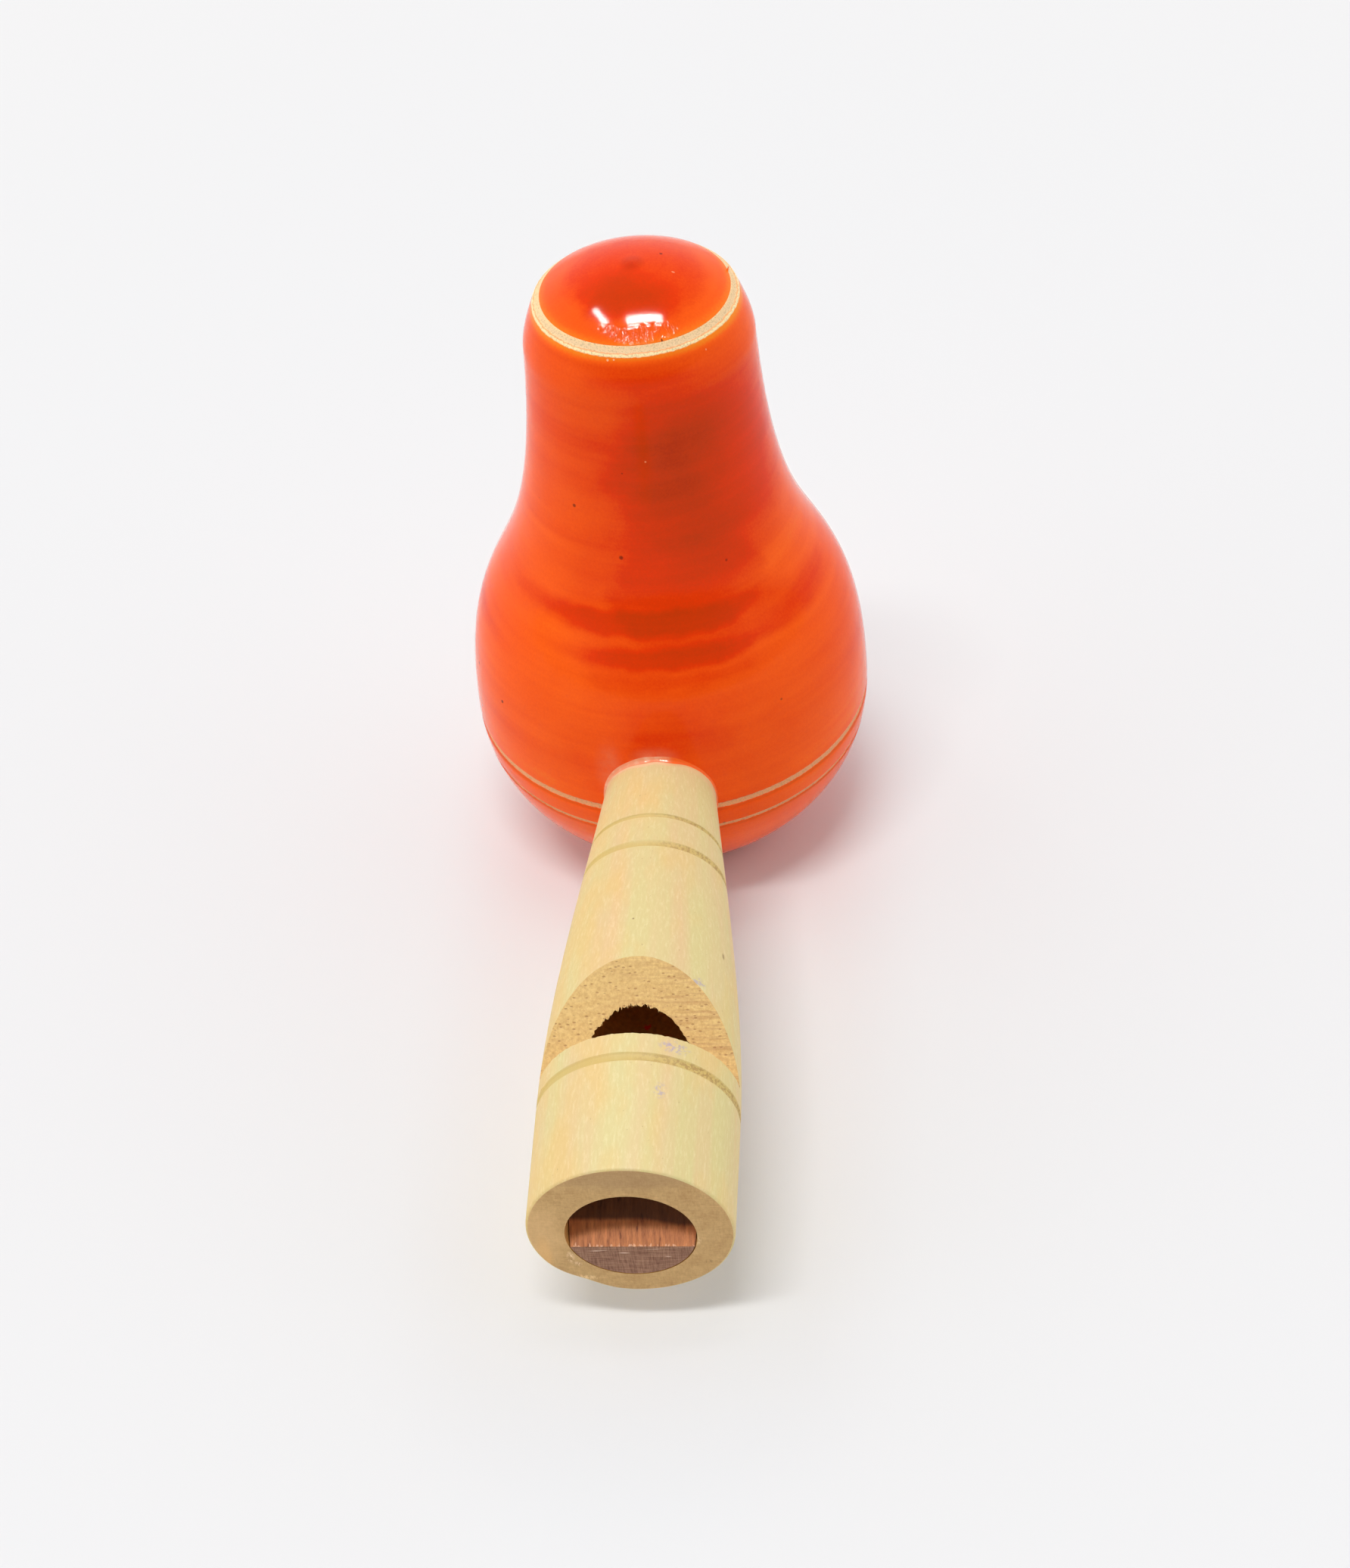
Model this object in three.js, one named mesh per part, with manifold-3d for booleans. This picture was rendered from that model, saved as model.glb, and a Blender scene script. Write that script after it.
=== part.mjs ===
import * as THREE from 'three';
import { mergeVertices } from 'three/addons/utils/BufferGeometryUtils.js';
import Module from 'manifold-3d';

// Bird whistle: a turned wooden pear that stands on its flat base, with a whistle tube in its lower front.
// Millimetres, +Z up. The origin is the centre of the base's underside, on the axis the pear was turned on.
// The tube points to -Y and droops a little towards its mouth.

// Pear body
const BASE_RADIUS = 9.1;
const BASE_FLARE = 48; // degrees above the floor at which the side leaves the base
const BASE_FULLNESS = 6.2;
const BELLY_RADIUS = 19;
const BELLY_HEIGHT = 16.9;
const BELLY_FULLNESS_BELOW = 8.8;
const BELLY_FULLNESS_ABOVE = 19.5;
const NECK_RADIUS = 10.5;
const NECK_HEIGHT = 57;
const NECK_LENGTH = 29; // how far the neck keeps its line before it swells into the belly
const NECK_TAPER = 2; // degrees
const CHAMBER_RADIUS = 6.5;
const CHAMBER_FLOOR = 9;
const DRILL_POINT = 118; // degrees, the tip angle of the drills that made the bores

// Bare ring between the neck and the cap
const SHOULDER_DROP = 1.2; // how much the neck rounds in below the ring
const SHOULDER_RISE = 4.25;
const SHOULDER_TURN = 1.3; // height above the neck where it turns in
const RING_WIDTH = 0.75;
const RING_RISE = 0.7;

// Scribed lines on the belly
const UPPER_LINE_HEIGHT = 16;
const UPPER_LINE_WIDTH = 1;
const LOWER_LINE_HEIGHT = 13.2;
const LOWER_LINE_WIDTH = 0.6;
const LINE_DEPTH = 0.2;

// Head cap
const DOME_RISE = 2.9;
const DOME_EDGE = 0.05;
const SPIGOT_LENGTH = 6;

// Whistle tube, with distances along its axis counted from the pear's axis
const TUBE_HEIGHT = 18.9;
const TUBE_DROOP = 4.65; // degrees
const TUBE_SHOULDER = 17;
const TUBE_SHOULDER_RADIUS = 5;
const TUBE_SWELL = 12; // reach of the taper's two handles
const TUBE_TAPER = 6.7; // degrees, where the tube leaves the pear
const TUBE_FULL = 56; // where the tube reaches its mouthpiece radius
const TUBE_LENGTH = 67.8;
const MOUTHPIECE_RADIUS = 8.85;
const MOUTHPIECE_EDGE = 0.3;
const TENON_RADIUS = 4.6;
const TENON_START = 7.5;
const BORE_RADIUS = 5.6;
const BORE_END = 37;
const PASSAGE_RADIUS = 3;
const RING_DEPTH = 0.2;
const TUBE_RINGS = [
  { at: 26.2, width: 0.5 },
  { at: 30, width: 0.8 },
  { at: 56, width: 0.9 },
];

// Window and fipple
const WINDOW_CUT = 53.5; // the straight cut
const WINDOW_FOOT = 0.9; // how far above the tube's axis the ramp ends
const RAMP_ANGLE = 39.7; // degrees
const WINDWAY_MOUTH_DROP = 2.1; // block's top below the tube's axis at the mouth
const WINDWAY_EXIT = 1.2; // height of the slit at the window

const GLUE_GAP = 0.1; // all round each glued joint
const SEGMENTS = 64;
const TUBE_SEGMENTS = 48;
const CURVE_STEPS = 11;

const wasm = await Module();
wasm.setup();

const radians = THREE.MathUtils.degToRad;
const point = (radius, height) => new THREE.Vector2(radius, height);

// A turned form about the Z axis, from a profile of radius and height.
function turned(profile, segments) {
  const geometry = new THREE.LatheGeometry(profile, segments);
  return solid(geometry.rotateX(Math.PI / 2));
}

// A prism across the tube, from an outline of distance along the tube and height above its axis.
function acrossTube(outline, width) {
  const shape = new THREE.Shape(outline);
  const geometry = new THREE.ExtrudeGeometry(shape, { depth: width, bevelEnabled: false });
  geometry.translate(0, 0, -width / 2);
  return solid(geometry.rotateY(-Math.PI / 2));
}

function solid(geometry) {
  geometry.deleteAttribute('normal');
  geometry.deleteAttribute('uv');
  const merged = mergeVertices(geometry, 1e-5);
  const index = merged.index.array;
  const triangles = [];
  for (let i = 0; i < index.length; i += 3) {
    const [a, b, c] = index.subarray(i, i + 3);
    if (a !== b && b !== c && c !== a) triangles.push(a, b, c);
  }
  return new wasm.Manifold(new wasm.Mesh({
    numProp: 3,
    vertProperties: new Float32Array(merged.attributes.position.array),
    triVerts: new Uint32Array(triangles),
  }));
}

function meshOf(manifold, name, color, roughness) {
  const { vertProperties, triVerts } = manifold.getMesh();
  const geometry = new THREE.BufferGeometry();
  geometry.setAttribute('position', new THREE.BufferAttribute(vertProperties, 3));
  geometry.setIndex(new THREE.BufferAttribute(triVerts, 1));
  geometry.computeVertexNormals();
  const mesh = new THREE.Mesh(geometry, new THREE.MeshStandardMaterial({ color, roughness, metalness: 0 }));
  mesh.name = name;
  return mesh;
}

// Radius of a profile, given as points of radius and height, at one height.
function radiusAt(profile, height) {
  const above = profile.findIndex((p, i) => i > 0 && p.y >= height && profile[i - 1].y < height);
  const low = profile[above - 1];
  const high = profile[above];
  return THREE.MathUtils.mapLinear(height, low.y, high.y, low.x, high.x);
}

// The ring of wood that a parting tool takes out of a turned profile.
function scribedRing(profile, { at, width, depth }, segments) {
  const floor = radiusAt(profile, at) - depth;
  const outside = floor + 2;
  return turned([
    point(floor, at - width / 2),
    point(outside, at - width / 2),
    point(outside, at + width / 2),
    point(floor, at + width / 2),
    point(floor, at - width / 2),
  ], segments);
}

const drillPointLength = (radius) => radius / Math.tan(radians(DRILL_POINT / 2));

// Outside of the pear, from its base to the top of its neck.
const flare = radians(BASE_FLARE);
const taper = radians(NECK_TAPER);
const pearSide = [
  ...new THREE.CubicBezierCurve(
    point(BASE_RADIUS, 0),
    point(BASE_RADIUS + BASE_FULLNESS * Math.cos(flare), BASE_FULLNESS * Math.sin(flare)),
    point(BELLY_RADIUS, BELLY_HEIGHT - BELLY_FULLNESS_BELOW),
    point(BELLY_RADIUS, BELLY_HEIGHT),
  ).getPoints(CURVE_STEPS),
  ...new THREE.CubicBezierCurve(
    point(BELLY_RADIUS, BELLY_HEIGHT),
    point(BELLY_RADIUS, BELLY_HEIGHT + BELLY_FULLNESS_ABOVE),
    point(NECK_RADIUS + NECK_LENGTH * Math.sin(taper), NECK_HEIGHT - NECK_LENGTH * Math.cos(taper)),
    point(NECK_RADIUS, NECK_HEIGHT),
  ).getPoints(CURVE_STEPS * 2).slice(1),
];

// The neck rounds in to the bare ring, whose inner edge is the edge of the cap.
const ringOuter = point(NECK_RADIUS - SHOULDER_DROP, NECK_HEIGHT + SHOULDER_RISE);
const capRadius = ringOuter.x - RING_WIDTH;
const neckTop = ringOuter.y + RING_RISE;
const shoulder = new THREE.QuadraticBezierCurve(
  point(NECK_RADIUS, NECK_HEIGHT),
  point(NECK_RADIUS, NECK_HEIGHT + SHOULDER_TURN),
  ringOuter,
).getPoints(4).slice(1);

// Outside of the tube from its shoulder in the pear to its mouth, as radius and distance along the axis.
const tubeSide = [
  ...new THREE.CubicBezierCurve(
    point(TUBE_SHOULDER_RADIUS, TUBE_SHOULDER),
    point(TUBE_SHOULDER_RADIUS + TUBE_SWELL * Math.tan(radians(TUBE_TAPER)), TUBE_SHOULDER + TUBE_SWELL),
    point(MOUTHPIECE_RADIUS, TUBE_FULL - TUBE_SWELL),
    point(MOUTHPIECE_RADIUS, TUBE_FULL),
  ).getPoints(CURVE_STEPS),
  point(MOUTHPIECE_RADIUS, TUBE_LENGTH - MOUTHPIECE_EDGE),
];

// One turned piece, bored from the top and closed by the cap. The tube's socket runs into the chamber.
function pearBody() {
  const body = turned([
    point(0, 0),
    ...pearSide,
    ...shoulder,
    point(capRadius, neckTop),
    point(CHAMBER_RADIUS, neckTop),
    point(CHAMBER_RADIUS, CHAMBER_FLOOR + drillPointLength(CHAMBER_RADIUS)),
    point(0, CHAMBER_FLOOR),
  ], SEGMENTS);
  const lines = [
    { at: UPPER_LINE_HEIGHT, width: UPPER_LINE_WIDTH, depth: LINE_DEPTH },
    { at: LOWER_LINE_HEIGHT, width: LOWER_LINE_WIDTH, depth: LINE_DEPTH },
  ].map((line) => scribedRing(pearSide, line, SEGMENTS));
  const socket = turned([
    point(0, 0),
    point(TENON_RADIUS + GLUE_GAP, 0),
    point(TENON_RADIUS + GLUE_GAP, TUBE_SHOULDER - GLUE_GAP),
    ...tubeSide.map((p) => point(p.x + GLUE_GAP, p.y)),
    point(0, TUBE_LENGTH),
  ], TUBE_SEGMENTS);
  const place = tubeFrame().matrix.elements;
  return lines.reduce((wood, line) => wood.subtract(line), body).subtract(socket.transform(place));
}

// Turned dome whose spigot plugs the chamber. Its flange lies on the flat top of the neck.
function headCap() {
  const spigot = CHAMBER_RADIUS - GLUE_GAP;
  const foot = neckTop - SPIGOT_LENGTH;
  const edge = neckTop + DOME_EDGE;
  const dome = [];
  for (let i = 0; i <= CURVE_STEPS; i++) {
    const radius = capRadius * (1 - i / CURVE_STEPS);
    dome.push(point(radius, edge + DOME_RISE * (1 - (radius / capRadius) ** 2)));
  }
  return turned([point(0, foot), point(spigot, foot), point(spigot, neckTop), point(capRadius, neckTop), ...dome],
    SEGMENTS);
}

// Turned and bored from both ends: a wide bore for the fipple, and a narrow passage to the chamber.
function whistleTube() {
  const tube = turned([
    point(PASSAGE_RADIUS, TENON_START),
    point(TENON_RADIUS, TENON_START),
    point(TENON_RADIUS, TUBE_SHOULDER),
    ...tubeSide,
    point(MOUTHPIECE_RADIUS - MOUTHPIECE_EDGE, TUBE_LENGTH),
    point(BORE_RADIUS, TUBE_LENGTH),
    point(BORE_RADIUS, BORE_END),
    point(PASSAGE_RADIUS, BORE_END - drillPointLength(BORE_RADIUS - PASSAGE_RADIUS)),
    point(PASSAGE_RADIUS, TENON_START),
  ], TUBE_SEGMENTS);
  const rings = TUBE_RINGS.map((ring) => scribedRing(tubeSide, { ...ring, depth: RING_DEPTH }, TUBE_SEGMENTS));
  const clear = MOUTHPIECE_RADIUS * 2;
  const window = acrossTube([
    new THREE.Vector2(WINDOW_CUT, WINDOW_FOOT),
    new THREE.Vector2(WINDOW_CUT, clear),
    new THREE.Vector2(WINDOW_CUT - (clear - WINDOW_FOOT) / Math.tan(radians(RAMP_ANGLE)), clear),
  ], clear * 2);
  return rings.reduce((wood, ring) => wood.subtract(ring), tube).subtract(window);
}

// Half-round block in the bore, flush with the mouth. Its top rises to leave only a slit at the window.
function fippleBlock() {
  const radius = BORE_RADIUS - GLUE_GAP;
  const rod = turned([
    point(0, WINDOW_CUT),
    point(radius, WINDOW_CUT),
    point(radius, TUBE_LENGTH),
    point(0, TUBE_LENGTH),
  ], TUBE_SEGMENTS);
  const exitHeight = BORE_RADIUS - WINDWAY_EXIT;
  const slope = (exitHeight + WINDWAY_MOUTH_DROP) / (TUBE_LENGTH - WINDOW_CUT);
  const topAt = (along) => new THREE.Vector2(along, exitHeight - slope * (along - WINDOW_CUT));
  const over = BORE_RADIUS * 2;
  const windway = acrossTube([
    topAt(WINDOW_CUT - 1),
    topAt(TUBE_LENGTH + 1),
    new THREE.Vector2(TUBE_LENGTH + 1, over),
    new THREE.Vector2(WINDOW_CUT - 1, over),
  ], over * 2);
  return rod.subtract(windway);
}

// A group at the pear's axis whose +Z runs down the tube to its mouth and whose +Y is the window's side.
function tubeFrame() {
  const group = new THREE.Group();
  group.position.set(0, 0, TUBE_HEIGHT);
  group.rotation.x = Math.PI / 2 + radians(TUBE_DROOP);
  group.updateMatrix();
  return group;
}

const whistle = new THREE.Group();
whistle.add(meshOf(pearBody(), 'pear_body', 0xe2481a, 0.2));
whistle.add(meshOf(headCap(), 'head_cap', 0xe2451c, 0.2));
const tube = tubeFrame();
tube.add(meshOf(whistleTube(), 'whistle_tube', 0xe8d09a, 0.7));
tube.add(meshOf(fippleBlock(), 'fipple_block', 0x8a6149, 0.75));
whistle.add(tube);

export default whistle;
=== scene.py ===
import math
import random

import bmesh
import bpy
from mathutils import Matrix, Vector, noise


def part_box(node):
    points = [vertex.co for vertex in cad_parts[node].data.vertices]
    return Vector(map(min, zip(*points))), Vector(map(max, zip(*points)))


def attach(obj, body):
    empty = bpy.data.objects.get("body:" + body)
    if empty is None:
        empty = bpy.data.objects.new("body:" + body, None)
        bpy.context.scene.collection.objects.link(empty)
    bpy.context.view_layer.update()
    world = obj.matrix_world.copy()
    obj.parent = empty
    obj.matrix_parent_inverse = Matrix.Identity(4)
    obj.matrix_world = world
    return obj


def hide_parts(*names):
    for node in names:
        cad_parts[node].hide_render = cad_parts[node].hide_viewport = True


# A bird whistle: a turned, lacquered pear on a flat base, with a bare wooden tube in its lower front.
# Sizes are real millimetres, turned to metres by MM when a mesh is made. The axis of the pear is Z.
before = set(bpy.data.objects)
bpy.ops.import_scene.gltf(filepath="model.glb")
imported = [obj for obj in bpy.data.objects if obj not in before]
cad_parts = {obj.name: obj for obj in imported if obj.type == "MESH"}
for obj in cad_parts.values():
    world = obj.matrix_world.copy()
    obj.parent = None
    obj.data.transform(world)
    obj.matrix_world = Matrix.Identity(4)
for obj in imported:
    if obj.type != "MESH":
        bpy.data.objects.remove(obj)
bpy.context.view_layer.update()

# Pear body
# The real one is turned from a light, close-grained wood, and coloured on the lathe with sticks of shellac.
# It is bored from the top as a resonance chamber, and has a socket in its lower front for the tube.
MM = 0.001
BASE_RADIUS = 9.1
BASE_FLARE = math.radians(48)
BASE_FULLNESS = 6.2
BELLY_HEIGHT = 16.9
BELLY_FULLNESS = (8.8, 19.5)
NECK_RADIUS = 10.5
NECK_HEIGHT = 57
NECK_LENGTH = 29
NECK_TAPER = math.radians(2)
SHOULDER_DROP = 1.2
SHOULDER_RISE = 4.25
SHOULDER_TURN = 1.3
RING_RIM = 0.22
CHAMBER_RADIUS = 6.5
CHAMBER_FLOOR = 9
DRILL_POINT = math.radians(118 / 2)
LINE_DEPTH = 0.12
UPPER_LINE = (16, 1.0)
LOWER_LINE = (13.2, 0.6)
TUBE_HEIGHT = 18.9
TUBE_DROOP = math.radians(4.65)
belly_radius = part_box("pear_body")[1].x / MM
neck_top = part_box("pear_body")[1].z / MM
cap_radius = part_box("head_cap")[1].x / MM
ring_radius = NECK_RADIUS - SHOULDER_DROP
ring_foot = NECK_HEIGHT + SHOULDER_RISE


def bend(points, steps):
    """Points along the Bezier curve that these control points give."""
    found = []
    for step in range(steps + 1):
        level = [Vector(p) for p in points]
        while len(level) > 1:
            level = [a.lerp(b, step / steps) for a, b in zip(level, level[1:])]
        found.append(level[0])
    return found


def radius_at(profile, height):
    """Radius of a profile that only rises, at one height."""
    for low, high in zip(profile, profile[1:]):
        if low[1] <= height <= high[1]:
            return low[0] + (high[0] - low[0]) * (height - low[1]) / max(high[1] - low[1], 1e-9)
    return profile[-1][0]


def scribed(profile, lines, depth):
    """The profile with shallow grooves, given as (height, width), pressed into it by a parting tool."""
    for at, width in lines:
        half = width / 2
        floor = radius_at(profile, at) - depth
        groove = [(radius_at(profile, at - half), at - half)]
        groove += [(floor + depth * 0.15, at - half * 0.72), (floor, at - half * 0.45)]
        groove += [(floor, at + half * 0.45), (floor + depth * 0.15, at + half * 0.72)]
        groove += [(radius_at(profile, at + half), at + half)]
        below = [p for p in profile if p[1] < at - half - 0.02]
        above = [p for p in profile if p[1] > at + half + 0.02]
        profile = below + [Vector(p) for p in groove] + above
    return profile


def placed(name, data):
    """A new object in the scene, from the data of a mesh, a lamp or the camera."""
    item = bpy.data.objects.new(name, data)
    bpy.context.scene.collection.objects.link(item)
    return item


def skinned(name, rings, finish, smooth=True, closed=False, ends=None):
    """An object skinned over rings of points in millimetres, with its faces turned outwards. finish gives a
    face's material index from its ring and its place in the ring, and ends is that of its flat ends. A
    closed one joins its last ring to its first."""
    shape = bmesh.new()
    loops = [[shape.verts.new([c * MM for c in point]) for point in ring] for ring in rings]
    followers = loops[1:] + (loops[:1] if closed else [])
    for ring, (low, high) in enumerate(zip(loops, followers), 1):
        count = max(len(low), len(high))
        for i in range(count):
            j = (i + 1) % count
            corners = [low[i % len(low)], low[j % len(low)], high[j % len(high)], high[i % len(high)]]
            corners = list(dict.fromkeys(corners))
            if len(corners) > 2:
                face = shape.faces.new(corners)
                face.material_index = finish(ring, i)
                face.smooth = smooth
    if ends is not None:
        for end in (loops[0], loops[-1]):
            shape.faces.new(end).material_index = ends
    bmesh.ops.recalc_face_normals(shape, faces=shape.faces)
    mesh = bpy.data.meshes.new(name)
    shape.to_mesh(mesh)
    shape.free()
    return placed(name, mesh)


def turned(name, sections, segments):
    """A closed turned object. A section is a material index and its points of radius and height."""
    angles = [2 * math.pi * i / segments for i in range(segments)]
    rings = []
    finishes = []
    for finish, points in sections:
        for radius, height in points:
            around = angles if radius > 1e-6 else [0]
            rings.append([(radius * math.sin(a), -radius * math.cos(a), height) for a in around])
            finishes.append(finish)
    return skinned(name, rings, lambda ring, place: finishes[ring])


def cut(piece, tool):
    """Takes the tool's volume out of the piece. The new faces keep the tool's material."""
    change = piece.modifiers.new("cut", "BOOLEAN")
    change.solver = "EXACT"
    change.material_mode = "TRANSFER"
    change.object = tool
    bpy.context.view_layer.update()
    result = bpy.data.meshes.new_from_object(piece.evaluated_get(bpy.context.evaluated_depsgraph_get()))
    piece.modifiers.clear()
    piece.data = result
    bpy.data.objects.remove(tool)


def colour(code):
    """Linear RGBA of an sRGB hex colour."""
    channels = [int(code[i : i + 2], 16) / 255 for i in (1, 3, 5)]
    return [c / 12.92 if c <= 0.04045 else ((c + 0.055) / 1.055) ** 2.4 for c in channels] + [1]


def add(tree, kind, inputs=None, **settings):
    """Adds a shader node with its settings. Each input is a value or another node's output."""
    node = tree.nodes.new("ShaderNode" + kind)
    for name, value in settings.items():
        setattr(node, name, value)
    for name, value in (inputs or {}).items():
        shown = [s for s in node.inputs if s.enabled and s.name == name]
        socket = node.inputs[name] if isinstance(name, int) else shown[0]
        if isinstance(value, bpy.types.NodeSocket):
            tree.links.new(value, socket)
        else:
            socket.default_value = value
    return next((s for s in node.outputs if s.enabled), None)


def new_finish(name):
    """An empty material, its node tree, and the place on the piece in millimetres, for its patterns."""
    material = bpy.data.materials.new(name)
    material.use_nodes = True
    tree = material.node_tree
    tree.nodes.clear()
    place = add(tree, "TexCoord").node.outputs["Object"]
    return material, tree, add(tree, "VectorMath", {0: place, "Scale": 1 / MM}, operation="SCALE")


def patch(tree, place, middle, extent, inner, amount):
    """How much of a soft-edged oval is felt at a place: all of amount in its inner part, none outside it.
    Distances past 180 wrap round, so that an oval given in degrees runs on across the back."""
    away = add(tree, "VectorMath", {0: place, 1: (*middle, 0)}, operation="SUBTRACT")
    away = add(tree, "VectorMath", {0: away, 1: (180, 180, 180), 2: (-180, -180, -180)}, operation="WRAP")
    away = add(tree, "VectorMath", {0: away, 1: (*extent, 1)}, operation="DIVIDE")
    away = add(tree, "VectorMath", {0: away}, operation="LENGTH")
    inside = {"Value": away, "From Min": 1.2, "From Max": inner, "To Max": amount}
    return add(tree, "MapRange", inside, interpolation_type="SMOOTHSTEP")


def stretched(tree, place, pull, detail, roughness=0.5):
    """Noise drawn out along a direction. pull is how many of its blotches fit in a millimetre each way."""
    drawn = add(tree, "VectorMath", {0: place, 1: pull}, operation="MULTIPLY")
    return add(tree, "TexNoise", {"Vector": drawn, "Scale": 1, "Detail": detail, "Roughness": roughness})


def stained(tree, base, pattern, start, end, amount, tint, where=None):
    """The base colour with a tint let into it, by up to amount, as a pattern goes from start to end. where
    is the share of it that shows at each place."""
    share = {"Value": pattern, "From Min": start, "From Max": end, "To Max": amount}
    share = add(tree, "MapRange", share)
    if where is not None:
        share = add(tree, "Math", {0: share, 1: where}, operation="MULTIPLY")
    return add(tree, "Mix", {"Factor": share, "A": base, "B": colour(tint)}, data_type="RGBA")


def surfaced(material, tint, relief, strength, depth, roughness, specular=0.5):
    """The material, closed with its colour and gloss and a relief of up to depth millimetres."""
    tree = material.node_tree
    bumps = add(tree, "Bump", {"Height": relief, "Strength": strength, "Distance": depth * MM})
    skin = {"Base Color": tint, "Roughness": roughness, "Specular IOR Level": specular, "Normal": bumps}
    add(tree, "OutputMaterial", {"Surface": add(tree, "BsdfPrincipled", skin)})
    return material


def lacquered(name, thin_edge, full_depth, patches=(), bare=(), drips=(), specks=(), glued=False):
    """Burnished shellac lacquer: an even gloss, with the orange going to red wherever the lac lies thicker.
    It thins out from full_depth to thin_edge. Patches and drips are (degrees to the right of the front,
    height, half width in degrees, half height, inner part, amount). Specks end in (tint, amount) instead.
    Bare wood shows in each (low, high, tint, burnt edge)."""
    material, tree, spot = new_finish(name)
    axes = add(tree, "SeparateXYZ", {0: spot}).node.outputs
    back = add(tree, "Math", {0: axes["Y"], 1: -1}, operation="MULTIPLY")
    angle = add(tree, "Math", {0: axes["X"], 1: back}, operation="ARCTAN2")
    degrees = add(tree, "Math", {0: angle, 1: math.degrees(1)}, operation="MULTIPLY")
    unrolled = add(tree, "CombineXYZ", {"X": degrees, "Y": axes["Z"]})

    # The lac goes on in slow spirals: its bands run round the piece, with soft ends and uneven edges.
    wander = add(tree, "TexNoise", {"Vector": spot, "Scale": 0.3, "Detail": 3}).node.outputs["Color"]
    wander = add(tree, "VectorMath", {0: wander, 1: (0.5, 0.5, 0.5)}, operation="SUBTRACT")
    wander = add(tree, "VectorMath", {0: wander, 1: (26, 1.5, 0)}, operation="MULTIPLY")
    uneven = add(tree, "VectorMath", {0: unrolled, 1: wander}, operation="ADD")
    drift = stretched(tree, spot, (0.05, 0.05, 0.09), 2)
    bands = stretched(tree, spot, (0.035, 0.035, 0.75), 4, 0.6)
    fine = add(tree, "TexNoise", {"Vector": spot, "Scale": 5, "Detail": 2})
    depth = 0
    for pattern, least, most in ((drift, 0.02, 0.2), (bands, -0.06, 0.06), (fine, -0.04, 0.04)):
        share = {"Value": pattern, "From Min": 0.3, "From Max": 0.7, "To Min": least, "To Max": most}
        share = add(tree, "MapRange", share)
        depth = add(tree, "Math", {0: depth, 1: share}, operation="ADD")
    for centre, height, half_width, half_height, inner, amount in patches:
        inside = patch(tree, uneven, (centre, height), (half_width, half_height), inner, amount)
        depth = add(tree, "Math", {0: depth, 1: inside}, operation="ADD")
    thinning = {
        "Value": axes["Z"], "From Min": thin_edge, "From Max": full_depth, "To Min": -0.4, "To Max": 0
    }
    thinning = add(tree, "MapRange", thinning, interpolation_type="SMOOTHSTEP")
    depth = add(tree, "Math", {0: depth, 1: thinning}, operation="ADD")
    lac = colour(LAC_THIN)
    for start, end, tint in LAC_TINTS:
        lac = stained(tree, lac, depth, start, end, 1, tint)

    # Dust and burnt crumbs of lac caught under the polish, about 5 mm apart.
    cell = add(tree, "TexVoronoi", {"Vector": spot, "Scale": 0.34}).node.outputs
    picked = add(tree, "SeparateColor", {0: cell["Color"]})
    chosen = add(tree, "Math", {0: picked, 1: 0.66}, operation="GREATER_THAN")
    lac = stained(tree, lac, cell["Distance"], 0.07, 0.035, 1, LAC_CRUMB, chosen)

    for centre, height, half_width, half_height, tint, amount in specks:
        here = patch(tree, unrolled, (centre, height), (half_width, half_height), 0.4, amount)
        lac = add(tree, "Mix", {"Factor": here, "A": lac, "B": colour(tint)}, data_type="RGBA")

    shine = add(
        tree, "MapRange", {"Value": bands, "From Min": 0.3, "From Max": 0.7, "To Min": 0.06, "To Max": 0.12}
    )
    skin = add(tree, "Bump", {"Height": fine, "Strength": 0.04, "Distance": 0.02 * MM})
    waves = add(tree, "TexNoise", {"Vector": spot, "Scale": 0.5, "Detail": 1})
    skin = add(tree, "Bump", {"Height": waves, "Strength": 1, "Distance": 0.02 * MM, "Normal": skin})
    if drips:
        # Small runs of lac that set before the burnishing reached them, flat-topped and about 0.4 mm wide.
        runs = stretched(tree, unrolled, (0.28, 1.9, 0), 2)
        runs = add(tree, "MapRange", {"Value": runs, "From Min": 0.42, "From Max": 0.58})
        runs = add(tree, "Math", {0: runs, 1: 0.5}, operation="SUBTRACT")
    for centre, height, half_width, half_height, inner, amount in drips:
        inside = patch(tree, unrolled, (centre, height), (half_width, half_height), inner, amount)
        run = add(tree, "Math", {0: runs, 1: inside}, operation="MULTIPLY")
        skin = add(tree, "Bump", {"Height": run, "Strength": 1, "Distance": 0.045 * MM, "Normal": skin})
    if glued:
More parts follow.
